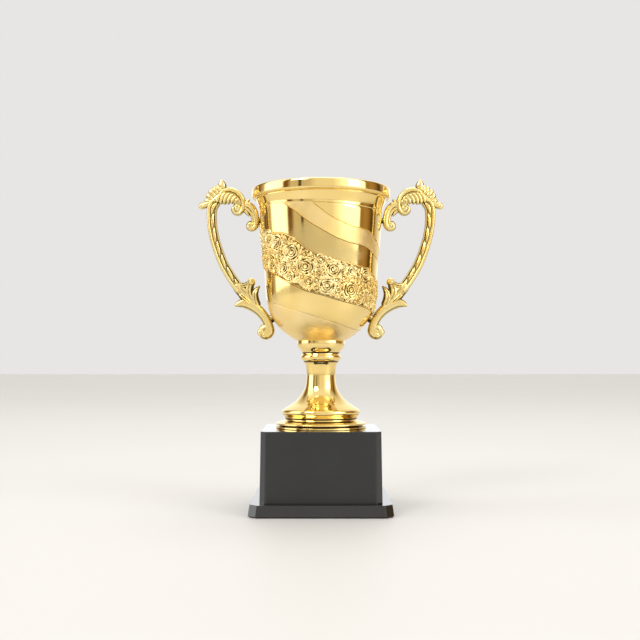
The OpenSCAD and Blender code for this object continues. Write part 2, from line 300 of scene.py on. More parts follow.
felt_mat = plain("felt_fibre", (0.012, 0.012, 0.013), (0.035, 0.035, 0.037),
                 0.9, 1.0, 1600, 0.0003, (1, 1, 0.3))
felt_mat.node_tree.nodes["Principled BSDF"].inputs["Sheen Weight"].default_value = 0.4
film_mat = plain("adhesive_film", (0.55, 0.55, 0.52), (0.7, 0.7, 0.67), 0.3, 0.5, 1200, 0.00001)

# --------------------------------------------------------------- base pieces
# Each CAD solid that stays in view: its finish, and the radius of its edges in millimetres
CAD_LOOKS = {
    "plinth": (black_gloss, 0.45), "foot_tray": (black_gloss, 0.35),
    "name_plate": (plate_paint, 0.12), "plate_adhesive": (film_mat, 0), "felt_pad": (felt_mat, 0),
    "ballast": (iron_mat, 0.6), "base_screws": (steel_mat, 0), "handle_screws": (gold_cast, 0.25),
    "handle_washers": (gold_cast, 0.1), "gasket": (rubber_mat, 0.15),
    "top_washer": (steel_mat, 0.2), "top_nut": (steel_mat, 0.3), "lower_washer": (steel_mat, 0.2),
    "lock_washer": (steel_mat, 0), "lower_nut": (steel_mat, 0.3),
}
WELD_GAP = 0.000005
FLAT_DEGREES, EDGE_DEGREES = 1, 28
for node_name, (look, edge) in CAD_LOOKS.items():
    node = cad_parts[node_name]
    node.data.materials.clear()
    node.data.materials.append(look)
    weld = node.modifiers.new("weld", "WELD")
    weld.merge_threshold = WELD_GAP
    if edge:
        merge = node.modifiers.new("merge", "DECIMATE")
        merge.decimate_type = "DISSOLVE"
        merge.angle_limit = math.radians(FLAT_DEGREES)
        soften = node.modifiers.new("soften", "BEVEL")
        soften.width = edge * MM
        soften.segments = 3
        soften.limit_method = "ANGLE"
        soften.angle_limit = math.radians(EDGE_DEGREES)
        soften.harden_normals = True

# ----------------------------------------------------------- turned gold parts
STEM_LINE = [
    [30, 57.1], [27.4, 57.9], [24.6, 58.9], [24.1, 60.2], [24.6, 61.6], [25.8, 63],
    [26.1, 64.6], [25.3, 65.9], [22.6, 67.6], [18.4, 70.2], [14.6, 73.9], [12, 77.6],
    [10.4, 81.4], [9.7, 86.5], [9.7, 91.3], [10.3, 95], [11.4, 97.2], [11.8, 98]
]
KNOP_LINE = [[11.8, 98], [12.7, 98.7], [13.4, 100], [13.4, 101.4], [12.7, 102.6], [12.5, 103.6]]
COLLAR_LINE = [
    [12.5, 103.6], [13.2, 104.6], [14.8, 106.6], [15.7, 108.4], [15.9, 110], [15.8, 111.6]
]
STEM_CAVITY = [
    [7.5, 93], [7.5, 86.5], [8.2, 81], [9.6, 76.5], [12.2, 71.5], [16, 68], [20, 64],
    [21, 61], [21, 56]
]
PLINTH_TOP_Z, RING_TOP_Z, STEM_ROOF_Z, STEM_TOP_Z = 53.5, 56, 93, 98
KNOP_TOP_Z, BASE_Z, FLOOR_Z = 103.6, 111.6, 114.2
RING_R, RING_BORE, MOUTH_R, BORE = 30.2, 20, 21, 3.1


def turned_piece(name, outline, grooves, replaced):
    form = Form()
    lathe(form, outline, grooves=grooves)
    form.piece(name, "cup", "gold_plate", [gold_mirror], [replaced])


seat_line = [[RING_BORE, PLINTH_TOP_Z], [RING_R, PLINTH_TOP_Z], [RING_R, 54.9], [28, 54.9],
             [28, RING_TOP_Z], [RING_BORE, RING_TOP_Z]]
turned_piece("seat_ring_turned", round_corners(seat_line, 0.3), [(55.5, 0.7)], "seat_ring")

flange = round_corners([[MOUTH_R, RING_TOP_Z], [30.3, RING_TOP_Z], [30.3, 56.9],
                        [29.6, 57.3]], 0.25)
outer = np.vstack([flange[4:-1], smooth_line(STEM_LINE, 7)[3:]])
cavity = smooth_line(STEM_CAVITY, 4)
stem_line = np.vstack([[[0, STEM_TOP_Z]], outer[::-1], cavity[::-1], [[0, STEM_ROOF_Z]]])
turned_piece("stem_turned", stem_line, [(60.1, 0.5), (97.6, 0.35)], "stem")

for name, low, line, high, grooves in (
        ("knop", STEM_TOP_Z, KNOP_LINE, KNOP_TOP_Z, [(STEM_TOP_Z, 0.3), (KNOP_TOP_Z, 0.4)]),
        ("collar", KNOP_TOP_Z, COLLAR_LINE, BASE_Z, [(KNOP_TOP_Z, 0.4)])):
    outline = np.vstack([[[BORE, low]], smooth_line(line, 7), [[BORE, high]]])
    turned_piece(name + "_turned", outline, grooves, name)

# The tie rod, with a rolled thread
ROD_R, ROD_LOW, ROD_HIGH, ROD_SIDES = 3.0, 30.0, 125.0, 24
PITCH, THREAD_DEPTH, LEAD_IN, ROWS_PER_TURN = 1.0, 0.32, 0.8, 4
turns = int((ROD_HIGH - ROD_LOW) / PITCH)
height = np.linspace(ROD_LOW, ROD_HIGH, turns * ROWS_PER_TURN + 1)
angle = np.linspace(0, TURN, ROD_SIDES, endpoint=False)
phase = (height[:, None] / PITCH - angle[None, :] / TURN) % 1
groove = THREAD_DEPTH * np.abs(2 * phase - 1)
end = np.minimum(ramp(height, ROD_LOW, ROD_LOW + LEAD_IN),
                 ramp(-height, -ROD_HIGH, -ROD_HIGH + LEAD_IN))[:, None]
radius = (ROD_R - groove) * (0.86 + 0.14 * end)
rings = np.stack([radius * np.cos(angle), radius * np.sin(angle),
                  np.repeat(height[:, None], ROD_SIDES, 1)], -1)
form = Form()
form.tube(rings, [0, 0, ROD_LOW], [0, 0, ROD_HIGH], 1 - groove * 2)
form.piece("tie_rod_threaded", "cup", "steel", [steel_mat], ["tie_rod"])

# ------------------------------------------------------------------ the bowl
BOWL_LINE = [
    [15.8, 111.6], [19.4, 113.6], [24.4, 117.2], [28.9, 121.6], [32.1, 126.2], [34.5, 131],
    [36.1, 137.6], [36.9, 145.6], [37.6, 158.6], [38.6, 170], [39.5, 180], [40.3, 189.3],
    [41, 198.7], [42.2, 202.6], [43.5, 205.3], [44.3, 207]
]
LIP_LINE = [
    [43.55, 205.5], [43.6, 205.75], [44.6, 205.85], [45.7, 206.25], [46.15, 207.2],
    [46.2, 209.4], [46.2, 211.4], [45.85, 212.35], [45, 212.7], [44.3, 212.45], [43.8, 211.5]
]
BOWL_STEPS = 8
bowl_curve = smooth_line(BOWL_LINE, BOWL_STEPS)
WALL, FLARE_Z = 1.8, 205.3


def bowl_r(z):
    return np.interp(z, bowl_curve[:, 1], bowl_curve[:, 0])


# The bands climb round the bowl as one helix. LEAD pairs a height with the turn, in radians,
# that the helix has made there, and a band line is named by its turn at the front.
LEAD = np.array([[111, -1.2], [120, 0], [127.8, 0.87], [142, 2.65], [168, 4.82], [183.1, 5.76],
                 [193.3, 6.38], [200, 6.8], [207, 7.3]])
ROSE_LOW, ROSE_HIGH, SHINE_HIGH, MATTE_HIGH = 2.5, 4.77, 5.75, 6.42
# How far each line strays from the true helix, in radians, at these degrees from the front
SWAY_AT = [-180, -105, -72, -52, -37, -25, -16, -8, 4, 14, 28, 50, 72, 105, 180]
SWAY = {
    ROSE_LOW: [0, 0, 0.15, 0.20, 0.09, 0.01, -0.06, -0.09, -0.11, -0.20, -0.20, -0.08, 0, 0, 0],
    ROSE_HIGH: [0, 0, -0.12, -0.06, 0.17, 0.10, -0.04, -0.20, -0.18, -0.14, -0.08, 0.10, 0.08,
                0, 0],
    SHINE_HIGH: [0, 0, 0.30, 0.40, 0.36, 0.21, 0.06, -0.05, -0.13, -0.18, -0.12, 0.15, 0.10,
                 0, 0],
    MATTE_HIGH: [0, 0, 0.30, 0.42, 0.42, 0.36, 0.26, 0.14, -0.08, -0.16, -0.12, 0.16, 0.10,
                 0, 0],
}
SWAY_FINE = np.linspace(-180, 180, 361)
SWAY_BLUR = 11  # degrees


def soft_sway(values):
    padded = np.pad(np.interp(SWAY_FINE, SWAY_AT, values), SWAY_BLUR // 2, "edge")
    return np.convolve(padded, np.ones(SWAY_BLUR) / SWAY_BLUR, "valid")


SWAY_LINES = sorted(SWAY)
SWAY_TABLES = [soft_sway(SWAY[line]) for line in SWAY_LINES]


def sway(w, phi):
    """How far band line w strays from the true helix: between two lines, in proportion."""
    w, turned = np.broadcast_arrays(w, (np.degrees(phi) + 180) % 360 - 180)
    strays = [np.interp(turned, SWAY_FINE, table) for table in SWAY_TABLES]
    out = strays[0]
    for low, high, a, b in zip(SWAY_LINES, SWAY_LINES[1:], strays, strays[1:]):
        t = np.clip((w - low) / (high - low), 0, 1)
        out = np.where(w > low, a * (1 - t) + b * t, out)
    return out


def band_z(w, phi):
    """Height of band line w at angle phi, which isn't wrapped."""
    return np.interp(w - phi + sway(w, phi), LEAD[:, 1], LEAD[:, 0])


def cap_z(phi):
    """Height of the slanting line where the matte cap ends and the bands begin."""
    return 129.3 - 10.5 * np.sin(phi + math.radians(20))


def rim_z(phi):
    """Height of the line where the bands end and the flare begins."""
    return 198 - 2 * np.sin(phi)


def edge_rows(low, high, step):
    """Band lines from low up to high, close together near both."""
    fine = np.array([0.006, 0.014, 0.026, 0.045, 0.075])
    near = fine[-1]
    count = max(2, int(round((high - low - 2 * near) / step)))
    between = np.linspace(low + near, high - near, count + 1)[1:-1]
    return np.concatenate([[low], low + fine, between, (high - fine)[::-1]])


band_rows = np.concatenate([
    edge_rows(ROSE_LOW, ROSE_HIGH, 0.05), edge_rows(ROSE_HIGH, SHINE_HIGH, 0.055),
    edge_rows(SHINE_HIGH, MATTE_HIGH, 0.05), edge_rows(MATTE_HIGH, ROSE_LOW + TURN, 0.065)])
# How far the wall is pushed out, in millimetres, at each band line
BAND_STEP = np.array([
    [ROSE_LOW, 0.0], [ROSE_LOW + 0.014, 0.42], [ROSE_LOW + 0.045, 0.42],
    [ROSE_LOW + 0.075, -0.3], [ROSE_HIGH - 0.075, -0.3], [ROSE_HIGH - 0.045, 0.42],
    [ROSE_HIGH - 0.014, 0.42], [ROSE_HIGH, -0.2], [ROSE_HIGH + 0.014, 0.2],
    [SHINE_HIGH - 0.014, 0.2], [SHINE_HIGH, -0.3], [SHINE_HIGH + 0.006, 0.3],
    [SHINE_HIGH + 0.026, 0.34], [SHINE_HIGH + 0.045, -0.06], [MATTE_HIGH - 0.014, -0.06],
    [MATTE_HIGH, -0.3], [MATTE_HIGH + 0.014, 0.2], [ROSE_LOW + TURN - 0.026, 0.2],
    [ROSE_LOW + TURN - 0.006, -0.3], [ROSE_LOW + TURN, 0.0]])

# The wall is a grid of COLS columns, where each column's rows follow the band lines. A row that
# has left the bands is drawn in to the cap line below or the flare line above.
MIRROR, SATIN, GROUND, INSIDE = range(4)
COLS = 440
PER_TURN = len(band_rows)
CLAMP_GAP = 0.12
rows = np.concatenate([band_rows + TURN * n for n in (-1, 0, 1)])
phi_c = -math.pi + TURN * np.arange(COLS) / COLS
raw_z = band_z(rows[None, :], phi_c[:, None])
low_z, high_z = cap_z(phi_c)[:, None], rim_z(phi_c)[:, None]
inside = (raw_z > low_z + CLAMP_GAP) & (raw_z < high_z - CLAMP_GAP)
row_w = (rows - ROSE_LOW) % TURN + ROSE_LOW
push = np.interp(row_w, BAND_STEP[:, 0], BAND_STEP[:, 1])[None, :] * np.ones((COLS, 1))
# Uneven ground behind the roses
pebble = (np.sin(phi_c[:, None] * 210 + raw_z * 3.1) * np.sin(phi_c[:, None] * 133 - raw_z * 4.3)
          + np.sin(phi_c[:, None] * 59 + raw_z * 5.3)) * 0.06
in_rose = (row_w > ROSE_LOW + 0.07) & (row_w < ROSE_HIGH - 0.07)
push = push + pebble * in_rose[None, :]
push *= ramp(raw_z, low_z + 0.1, low_z + 2.4) * ramp(-raw_z, -high_z, -high_z + 0.7)
# Painted shade: darker where the wall is sunk, darker still over the ground behind the roses
push_relief = np.where(push < -0.1, 0.45, 1.0)
push_relief = np.where(in_rose[None, :], 0.15, push_relief)

# Vertex numbers: first the cap line, then the flare line, then the wall between them
columns = np.repeat(np.arange(COLS)[:, None], len(rows), 1)
ids = np.where(raw_z <= low_z + CLAMP_GAP, columns, COLS + columns)
ids[inside] = 2 * COLS + np.arange(int(inside.sum()))


def on_bowl(phi, z, out):
    r = bowl_r(z) + out
    return np.stack([r * np.sin(phi), -r * np.cos(phi), z * np.ones_like(phi)], -1)


phi_grid = np.repeat(phi_c[:, None], len(rows), 1)
wall_verts = [on_bowl(phi_c, cap_z(phi_c), 0.0), on_bowl(phi_c, rim_z(phi_c), 0.0),
              on_bowl(phi_grid[inside], raw_z[inside], push[inside])]
# A line of painted shade runs along the flare line
wall_relief = [np.ones(COLS), np.full(COLS, 0.5), push_relief[inside]]
# Once round, the last column meets the first with every row one turn further on
next_ids = np.vstack([ids[1:], np.concatenate([np.full(PER_TURN, 0), ids[0, :-PER_TURN]])])
quads = np.stack([ids[:, :-1], next_ids[:, :-1], next_ids[:, 1:], ids[:, 1:]], -1).reshape(-1, 4)
kind_of_row = np.select([(row_w < ROSE_HIGH - 0.002) & (row_w >= ROSE_LOW + 0.04),
                         (row_w >= SHINE_HIGH + 0.03) & (row_w < MATTE_HIGH - 0.002)],
                        [GROUND, SATIN], MIRROR)
kinds = np.repeat(kind_of_row[None, :-1], COLS, 0).reshape(-1)
whole = ((quads[:, 0] != quads[:, 1]) & (quads[:, 1] != quads[:, 2])
         & (quads[:, 2] != quads[:, 3]) & (quads[:, 3] != quads[:, 0]))
wall_faces = quads[whole].tolist()
wall_kinds = kinds[whole].tolist()
for face, kind in zip(quads[~whole].tolist(), kinds[~whole].tolist()):
    kept = [v for n, v in enumerate(face) if v != face[n - 1]]
    if len(kept) == 3 and len(set(kept)) == 3:
        wall_faces.append(kept)
        wall_kinds.append(kind)

# Cap below the bands, flare and lip above them, then down the inside and across the floor
CAP_ROWS = 18
CAP_EDGE = 0.8
# The groove under the cap line, with shade painted in it: (how far below it, push, share left
# unshaded)
CAP_GROOVE = ((0.55, 0.0, 1.0), (0.36, -0.04, 0.7), (0.26, -0.14, 0.2), (0.14, -0.14, 0.2),
              (0.07, -0.03, 0.7))
# Rows up the flare: (share of its height, push)
FLARE_ROWS = ((0.035, 0.3), (0.08, 0.26), (0.16, 0.05), (0.28, 0), (0.4, 0), (0.52, 0), (0.64, 0),
              (0.76, 0), (0.88, 0))
cap_line, flare_line = cap_z(phi_c), rim_z(phi_c)
lower_t = np.linspace(0, 1, CAP_ROWS + 1)[:-1][:, None]
cap_rows_z = np.vstack([BASE_Z + (cap_line[None, :] - CAP_EDGE - BASE_Z) * lower_t]
                       + [cap_line[None, :] - down for down, _, _ in CAP_GROOVE])
cap_push = [0.0] * CAP_ROWS + [out for _, out, _ in CAP_GROOVE]
cap_relief = [1.0] * CAP_ROWS + [shade for _, _, shade in CAP_GROOVE]
lip = smooth_line(LIP_LINE, 3)
inner = [[r - WALL, z] for r, z in bowl_curve[::-BOWL_STEPS] if FLOOR_Z + 3 < z < 205.5]
inner = np.vstack([[[43.4, 209.5], [42.9, 206.9]], inner,
                   [[22.4, 116.6], [20, 115], [17.5, FLOOR_Z], [10, FLOOR_Z]]])
profile = np.vstack([lip, smooth_line(inner, 2)])


def turned(r, z):
    return np.stack([r * np.sin(phi_c), -r * np.cos(phi_c), z * np.ones(COLS)], -1)


rings_low = [on_bowl(phi_c, row, p) for row, p in zip(cap_rows_z, cap_push)]
rings_up = [on_bowl(phi_c, flare_line + (FLARE_Z - flare_line) * share, out)
            for share, out in FLARE_ROWS]
rings_up += [turned(r, z) for r, z in profile]
offset = 2 * COLS + int(inside.sum())
n_low, n_up = len(rings_low), len(rings_up)
low_ids = offset + np.arange(n_low * COLS).reshape(n_low, COLS)
up_ids = offset + n_low * COLS + np.arange(n_up * COLS).reshape(n_up, COLS)
low_all = np.vstack([low_ids, np.arange(COLS)[None, :]])
up_all = np.vstack([COLS + np.arange(COLS)[None, :], up_ids])
for grid_ids, kind in ((low_all, SATIN), (up_all, MIRROR)):
    right = np.roll(grid_ids, -1, 1)
    block = np.stack([grid_ids[:-1], right[:-1], right[1:], grid_ids[1:]], -1)
    for n, row in enumerate(block):
        wall_faces.extend(row.tolist())
        past_lip = kind == MIRROR and n >= len(FLARE_ROWS) + len(lip)
        wall_kinds.extend([INSIDE if past_lip else kind] * COLS)
poles = offset + (n_low + n_up) * COLS + np.arange(2)
base_fan = [low_ids[0], np.full(COLS, poles[0]), np.roll(low_ids[0], -1)]
floor_fan = [up_ids[-1], np.roll(up_ids[-1], -1), np.full(COLS, poles[1])]
for fan in (base_fan, floor_fan):
    wall_faces.extend(np.stack(fan, -1).tolist())
wall_kinds.extend([SATIN] * COLS + [INSIDE] * COLS)
form = Form()
form.verts = [np.vstack(wall_verts + rings_low + rings_up + [[[0, 0, BASE_Z], [0, 0, FLOOR_Z]]])]
form.relief = [np.concatenate(
    wall_relief + [np.repeat(cap_relief, COLS), np.ones(n_up * COLS + len(poles))])]
form.faces, form.mats = wall_faces, wall_kinds
form.piece("bowl_spun", "cup", "gold_plate", [gold_mirror, gold_satin, gold_ground, gold_inside],
           ["bowl"], 50)


# ------------------------------------------------------- roses on the band
FOOT = -0.9  # how deep in the wall a patch's closed underside is


def lump(form, phi0, z0, x, y, h, relief, turn=0.0):
    """A closed raised patch: x, y and height above the wall over rings (K, S), growing outward."""
    c, s = math.cos(turn), math.sin(turn)
    u, v = x * c - y * s, x * s + y * c
    phi = phi0 + u / bowl_r(z0)
    rings = on_bowl(phi, z0 + v, h)
    foot = on_bowl(phi[-1], z0 + v[-1], FOOT)
    top = on_bowl(np.array([phi[0].mean()]), np.array([z0 + v[0].mean()]), h[0].mean())[0]
    low_phi = phi0 + u[-1].mean() / bowl_r(z0)
    low = on_bowl(np.array([low_phi]), np.array([z0 + v[-1].mean()]), FOOT)[0]
    form.tube(np.concatenate([rings, foot[None]]), top, low,
              np.concatenate([relief, relief[-1:]]))


# Rows across a petal: (place, height, share left unshaded by the painted shade)
PETAL_ROWS = ((0.14, 0.0, 0.7), (0.4, 0.26, 1.0), (0.82, 0.34, 1.0), (1.0, 0.2, 1.0))


def rose(form, phi0, z0, radius, layers, sides, swell=1.0):
    """Rings of cupped, overlapping petals: layers are (outer share of the radius, petals).

    A layer of one petal is a spiral.
    """
    th = np.linspace(0, TURN, sides, endpoint=False)
    inner = np.full(sides, 0.03)
    xs, hs, rel = [], [], []
    for n, (share, petals) in enumerate(layers):
        q = (petals * (th / TURN + rng.uniform())) % 1
        if petals == 1:
            outer = share * (0.7 + 0.5 * q)
        else:
            outer = share * (1 + 0.24 * (np.sin(math.pi * q) ** 0.7 - 0.72))
            outer = outer * (1 + 0.05 * np.sin(2 * th + rng.uniform(0, TURN)))
        start = inner
        # Painted shade in the gap between a ring of petals and the ring inside it
        if n:  # a dark gap, wide where two petals of the ring inside meet
            start = np.maximum(inner + 0.02, 0.97 * inner.max() + 0.02)
            for k in (inner * 1.01, start):
                xs.append(k)
                hs.append(swell * (0.02 + 0.5 * (1 - k ** 2)))
                rel.append(np.zeros(sides))
        outer = np.maximum(outer, start + 0.09)
        tuck = 0.3 * (q - 0.5)
        # Painted shade along the seam where each petal tucks under the next
        seam = 0.15 + 0.85 * ramp(q, 0.03, 0.16)
        for place, height, shade in PETAL_ROWS:
            k = start + (outer - start) * place
            xs.append(k)
            hs.append(swell * (0.42 + height + tuck + 0.5 * (1 - k ** 2)))
            rel.append(shade * seam)
        inner = outer
    # A rim of painted shade where the rose meets the ground
    xs.append(inner * 1.03)
    hs.append(np.full(sides, -0.5))
    rel.append(np.full(sides, 0.1))
    k = np.array(xs) * radius
    lump(form, phi0, z0, k * np.cos(th), k * np.sin(th), np.array(hs), np.array(rel))


def leaf(form, phi0, z0, length, width, turn, veins, swell):
    """A pointed leaf with a midrib and, if veins, side veins."""
    k = np.linspace(0.08, 1, 9)[:, None]
    th = np.linspace(0, TURN, 28, endpoint=False)[None, :]
    along, across = np.cos(th), np.sin(th)
    shape = across * (1 - 0.35 * along)
    x, y = k * along * length / 2, k * shape * width / 2
    v = y / (width / 2)
    vein = np.exp(-(v / 0.16) ** 2)
    if veins:
        vein = vein + 0.35 * np.cos(x / length * 26 - np.abs(v) * 5)
    h = 0.05 + swell * np.sqrt(np.clip(1 - k ** 2, 0, 1)) - 0.22 * vein * (1 - k ** 3)
    h = h * (1 - ramp(k, 0.9, 1)) - 0.5 * ramp(k, 0.9, 1)
    # Painted shade along the veins and round the edge
    relief = np.clip(1 - 0.5 * vein, 0.1, 1) * (1 - 0.6 * ramp(k, 0.85, 1))
    lump(form, phi0, z0, x, y, h, relief, turn)


# The roses at the front: (degrees from the front, height, radius)
ROSES = [
    (-47, 173.9, 5.0), (-39, 157.6, 4.8), (-29, 167.2, 5.4), (-15, 157.9, 5.6),
    (-12, 148.8, 3.4), (0, 162.2, 3.4), (6, 145.6, 5.1), (12, 155.9, 5.4), (31, 143.4, 5.7),
    (50, 153.2, 5.1), (63, 140.5, 5.0), (31, 155.2, 3.4), (-57, 162.5, 4.6), (-60, 178.6, 4.6)
]
SPREAD = 1.1
BAND_R = 38  # the bowl's radius about the middle of the band
EDGE_GAP, LINE_GAP, IN_BAND = 0.6, 0.5, 0.8
placed = [(math.radians(a), z, r * SPREAD) for a, z, r in ROSES]


def apart(phi, z, radius, share):
    """Whether a patch keeps this share of both radii away from all that is placed."""
    for p, q, r in placed:
        d = (phi - p + math.pi) % TURN - math.pi
        if math.hypot(d * BAND_R, z - q) < (radius + r) * share:
            return False
    return True


def fits(phi, z, radius):
    """Whether a patch keeps inside the band at this unwrapped angle."""
    low = max(float(band_z(ROSE_LOW, phi)) + EDGE_GAP, float(cap_z(phi)) + LINE_GAP)
    high = min(float(band_z(ROSE_HIGH, phi)) - EDGE_GAP, float(rim_z(phi)) - LINE_GAP)
    return low + radius * IN_BAND < z < high - radius * IN_BAND


# Two rows of roses round the sides and the back, along these band lines
ROSE_ROWS = (3.14, 4.12)
ROSE_PITCH = 11.8  # degrees
right_side = np.arange(72, 178, ROSE_PITCH).tolist()
left_side = (-70 - np.arange(0, 115, ROSE_PITCH)).tolist()
for n, turn_deg in enumerate(right_side + left_side):
    phi = math.radians(turn_deg)
    z = float(band_z(ROSE_ROWS[n % 2], phi))
    radius = rng.uniform(5.2, 6.1)
    if fits(phi, z, radius) and apart(phi, z, radius, 0.84):
        placed.append((phi, z, radius))

BIG_ROSE = ((0.22, 1), (0.45, 3), (0.71, 4), (1.0, 5))
SMALL_ROSE = ((0.3, 1), (0.62, 3), (1.0, 4))
BUD = ((0.4, 1), (1.0, 3))
FLORET = ((1.0, 3),)
BIG_RADIUS = 4
form = Form()
for phi, z, radius in placed:
    if radius > BIG_RADIUS:
        rose(form, phi, z, radius, BIG_ROSE, 48)
    else:
        rose(form, phi, z, radius, SMALL_ROSE, 36)
form.piece("bowl_roses", "cup", "gold_plate", [gold_rose])

# Two large leaves, then ever smaller flowers, buds and leaves in the gaps
form = Form()
LEAVES = [(-24, 149.5, 8.2, 4.6, 200), (-18.5, 147.2, 7.4, 4.2, 300)]
for deg, z, length, width, turn_deg in LEAVES:
    leaf(form, math.radians(deg), z, length, width, math.radians(turn_deg), False, 0.8)
    placed.append((math.radians(deg), z, 2.6))
for kind, size_low, size_high, tries in (
        ("flower", 2.4, 3.1, 2500), ("bud or leaf", 1.6, 2.2, 5000), ("floret", 0.8, 1.2, 7000)):
    for _ in range(tries):
        phi = rng.uniform(-3.6, 3.6)
        w = rng.uniform(ROSE_LOW, ROSE_HIGH)
        z = float(band_z(w, phi))
        radius = rng.uniform(size_low, size_high)
        if not fits(phi, z, radius) or not apart(phi, z, radius, 0.74):
            continue
        placed.append((phi, z, radius))
        if kind == "flower":
            rose(form, phi, z, radius, SMALL_ROSE, 26, 0.9)
        elif kind == "floret":
            rose(form, phi, z, radius, FLORET, 9, 0.7)
        elif rng.random() < 0.5:
            rose(form, phi, z, radius, BUD, 16, 0.8)
        else:
            leaf(form, phi, z, radius * 2.1, radius * 1.3, rng.uniform(0, TURN), True, 0.6)
form.piece("bowl_sprigs", "cup", "gold_plate", [gold_rose])


# ----------------------------------------------------------------- handles
def strand(form, points, half_t, offset=0.0, width=1.0, grooves=(), twist=None, round_a=True,
           round_b=True, steps=7, sides=22, relief=None, square=0.85, edge=0.9):
    """A swept member through points of [radius, height, half width].

    half_t is its half thickness, as one number or as three along it. offset and width count in
    half widths, grooves are (place across, half width, depth) and twist is (lobes, pitch, depth).
    """
    path = smooth_line(points, steps)
    p, hw = path[:, :2], path[:, 2]
    tangent = np.gradient(p, axis=0)
    tangent /= np.linalg.norm(tangent, axis=1)[:, None]
    normal = np.stack([-tangent[:, 1], tangent[:, 0]], 1)
    s = np.concatenate([[0], np.cumsum(np.linalg.norm(np.diff(p, axis=0), axis=1))])
    grow = np.ones(len(s))
    size = hw * width
    if round_a:
        grow *= np.sqrt(np.clip(1 - np.clip(1 - s / size[0], 0, 1) ** 2, 0.02, 1))
    if round_b:
        grow *= np.sqrt(np.clip(1 - np.clip(1 - (s[-1] - s) / size[-1], 0, 1) ** 2, 0.02, 1))
    a = np.linspace(0, TURN, sides, endpoint=False)[None, :]
    ca, sa = np.cos(a), np.sin(a)
    v = np.sign(ca) * np.abs(ca) ** square
    y = np.sign(sa) * np.abs(sa) ** square
    swell = np.ones((len(s), sides))
    # Painted shade: towards the sides by edge, deep in the twist's crevices and in the grooves; a
    # shade value given for the whole member replaces it all
    rel = 1 - edge * ramp(np.abs(v), 0.45, 0.84) * np.ones((len(s), 1))
    if twist:
        lobes, pitch, depth = twist
        wave = 0.5 + 0.5 * np.cos(lobes * (a - TURN * s[:, None] / pitch))
        swell -= depth * (1 - wave) ** 3
        rel -= 0.95 * (1 - wave) ** 5
    for at, half, depth in grooves:
        cut = np.exp(-((v - at) / half) ** 2) * np.ones((len(s), 1))
        swell -= depth * cut * np.abs(sa)
        rel -= 0.8 * cut * np.abs(sa) * (depth > 0)
    across = (offset * hw)[:, None] + v * size[:, None] * grow[:, None] * swell
    if np.ndim(half_t):
        half_t = np.interp(s / s[-1], [0, 0.5, 1], half_t)[:, None]
    depth_y = y * half_t * grow[:, None] * swell
    rings = np.stack([p[:, :1] + normal[:, :1] * across, depth_y,
                      p[:, 1:] + normal[:, 1:] * across], -1)
    shade = np.clip(rel if relief is None else np.full(rel.shape, relief), 0, 1)
    form.tube(rings, rings[0].mean(0), rings[-1].mean(0), shade)


def blob(form, r, z, radius, half_t, coil=0.0, start=0.0):
    """A flattened ball, with a coil cut this deep into both faces as on a scroll end."""
    a = np.linspace(0, TURN, 40, endpoint=False)[None, :]
    t = np.linspace(-math.pi / 2, math.pi / 2, 31)[1:-1][:, None]
    flat = np.cos(t) ** 0.8
    phase = (flat * 1.5 + a / TURN + start) % 1
    groove = np.exp(-(((phase + 0.5) % 1 - 0.5) / 0.13) ** 2)
    groove = groove * ramp(flat, 0.12, 0.3) * ramp(-flat, -0.97, -0.85)
    y = np.sin(t) * half_t * (1 - coil * groove)
    rings = np.stack([r + radius * flat * np.cos(a), y, z + radius * flat * np.sin(a)], -1)
    # Painted shade in the coil's groove
    rel = 1 - 0.9 * groove * (coil > 0) * np.ones_like(a)
    form.tube(rings, rings[0].mean(0), rings[-1].mean(0), rel)


# Centre lines of the members of the handle on the +X side, as [radius, height, half width]
MAIN_ARM = [
    [70.2, 205, 3.5], [72.8, 200, 3.5], [72.9, 190.6, 3.35], [71.5, 181.5, 3.3],
    [68.9, 172.6, 3.3], [65.3, 163.3, 3.3], [60.9, 155.6, 3.4], [57, 149.8, 3.5],
    [53.2, 145, 3.6]
]
TOP_ARM = [[70.5, 206.8, 4.2], [64.5, 207.6, 4.4], [59.5, 207.4, 4], [55.6, 204.6, 3],
           [54.4, 201, 2.2]]
TOP_RIB = [
    [66.5, 211.6, 1.5], [61.5, 212.8, 1.7], [57, 211.6, 1.8], [53.3, 208.2, 1.8],
    [51.9, 203.9, 1.75], [52.3, 200, 1.7], [54.4, 197.2, 1.6], [57.4, 197.1, 1.5],
    [59, 199.4, 1.3], [57.6, 201.6, 1.0]
]
FLUTE_TOPS = [[54.0, 206.4], [56, 208.6], [58.6, 210.1], [61.3, 210.9], [64, 211.1],
              [66.6, 210.6]]
FLUTE_FEET = [[57.7, 204.0], [60.2, 203.4], [62.7, 203.0], [65.1, 202.8], [67.4, 203.0],
              [69.6, 203.6]]
LINK = [
    [52.5, 201.8, 2.0], [49, 202.6, 2.2], [46, 200.5, 2.3], [44.2, 196.8, 2.3],
    [43.4, 192.4, 2.2], [43.8, 188.8, 2.1], [45.8, 186.8, 2.0], [48.2, 187.4, 1.9],
    [48.8, 189.4, 1.5]
]
LINK_INNER = [[52, 200.6, 1.2], [48.7, 199.2, 1.3], [46.4, 196, 1.2], [45.6, 192.4, 1.1],
              [46.2, 189.6, 0.9]]
LINK_LEAF = [[51.6, 199, 1.0], [49.6, 197.4, 1.3], [48.1, 194.9, 0.5]]
LIP_LEAF = [[50.5, 202.6, 1.2], [49.4, 204.6, 1.4], [48, 206.3, 0.5]]
LINK_FOOT = [[46, 194.6, 2.0], [43, 192.4, 2.4], [40.6, 191.4, 2.6]]
SPUR = [
    [64.6, 213.2, 1.3], [67.4, 209.8, 1.7], [70.4, 206.6, 2.0], [73.8, 204.1, 2.1],
    [77, 202.7, 2.2], [79.8, 202.1, 2.4], [81.9, 202.0, 2.1]
]
CREST_BASE = [[66, 212.2], [68.6, 209.4], [71.4, 206.6], [74, 203.6]]
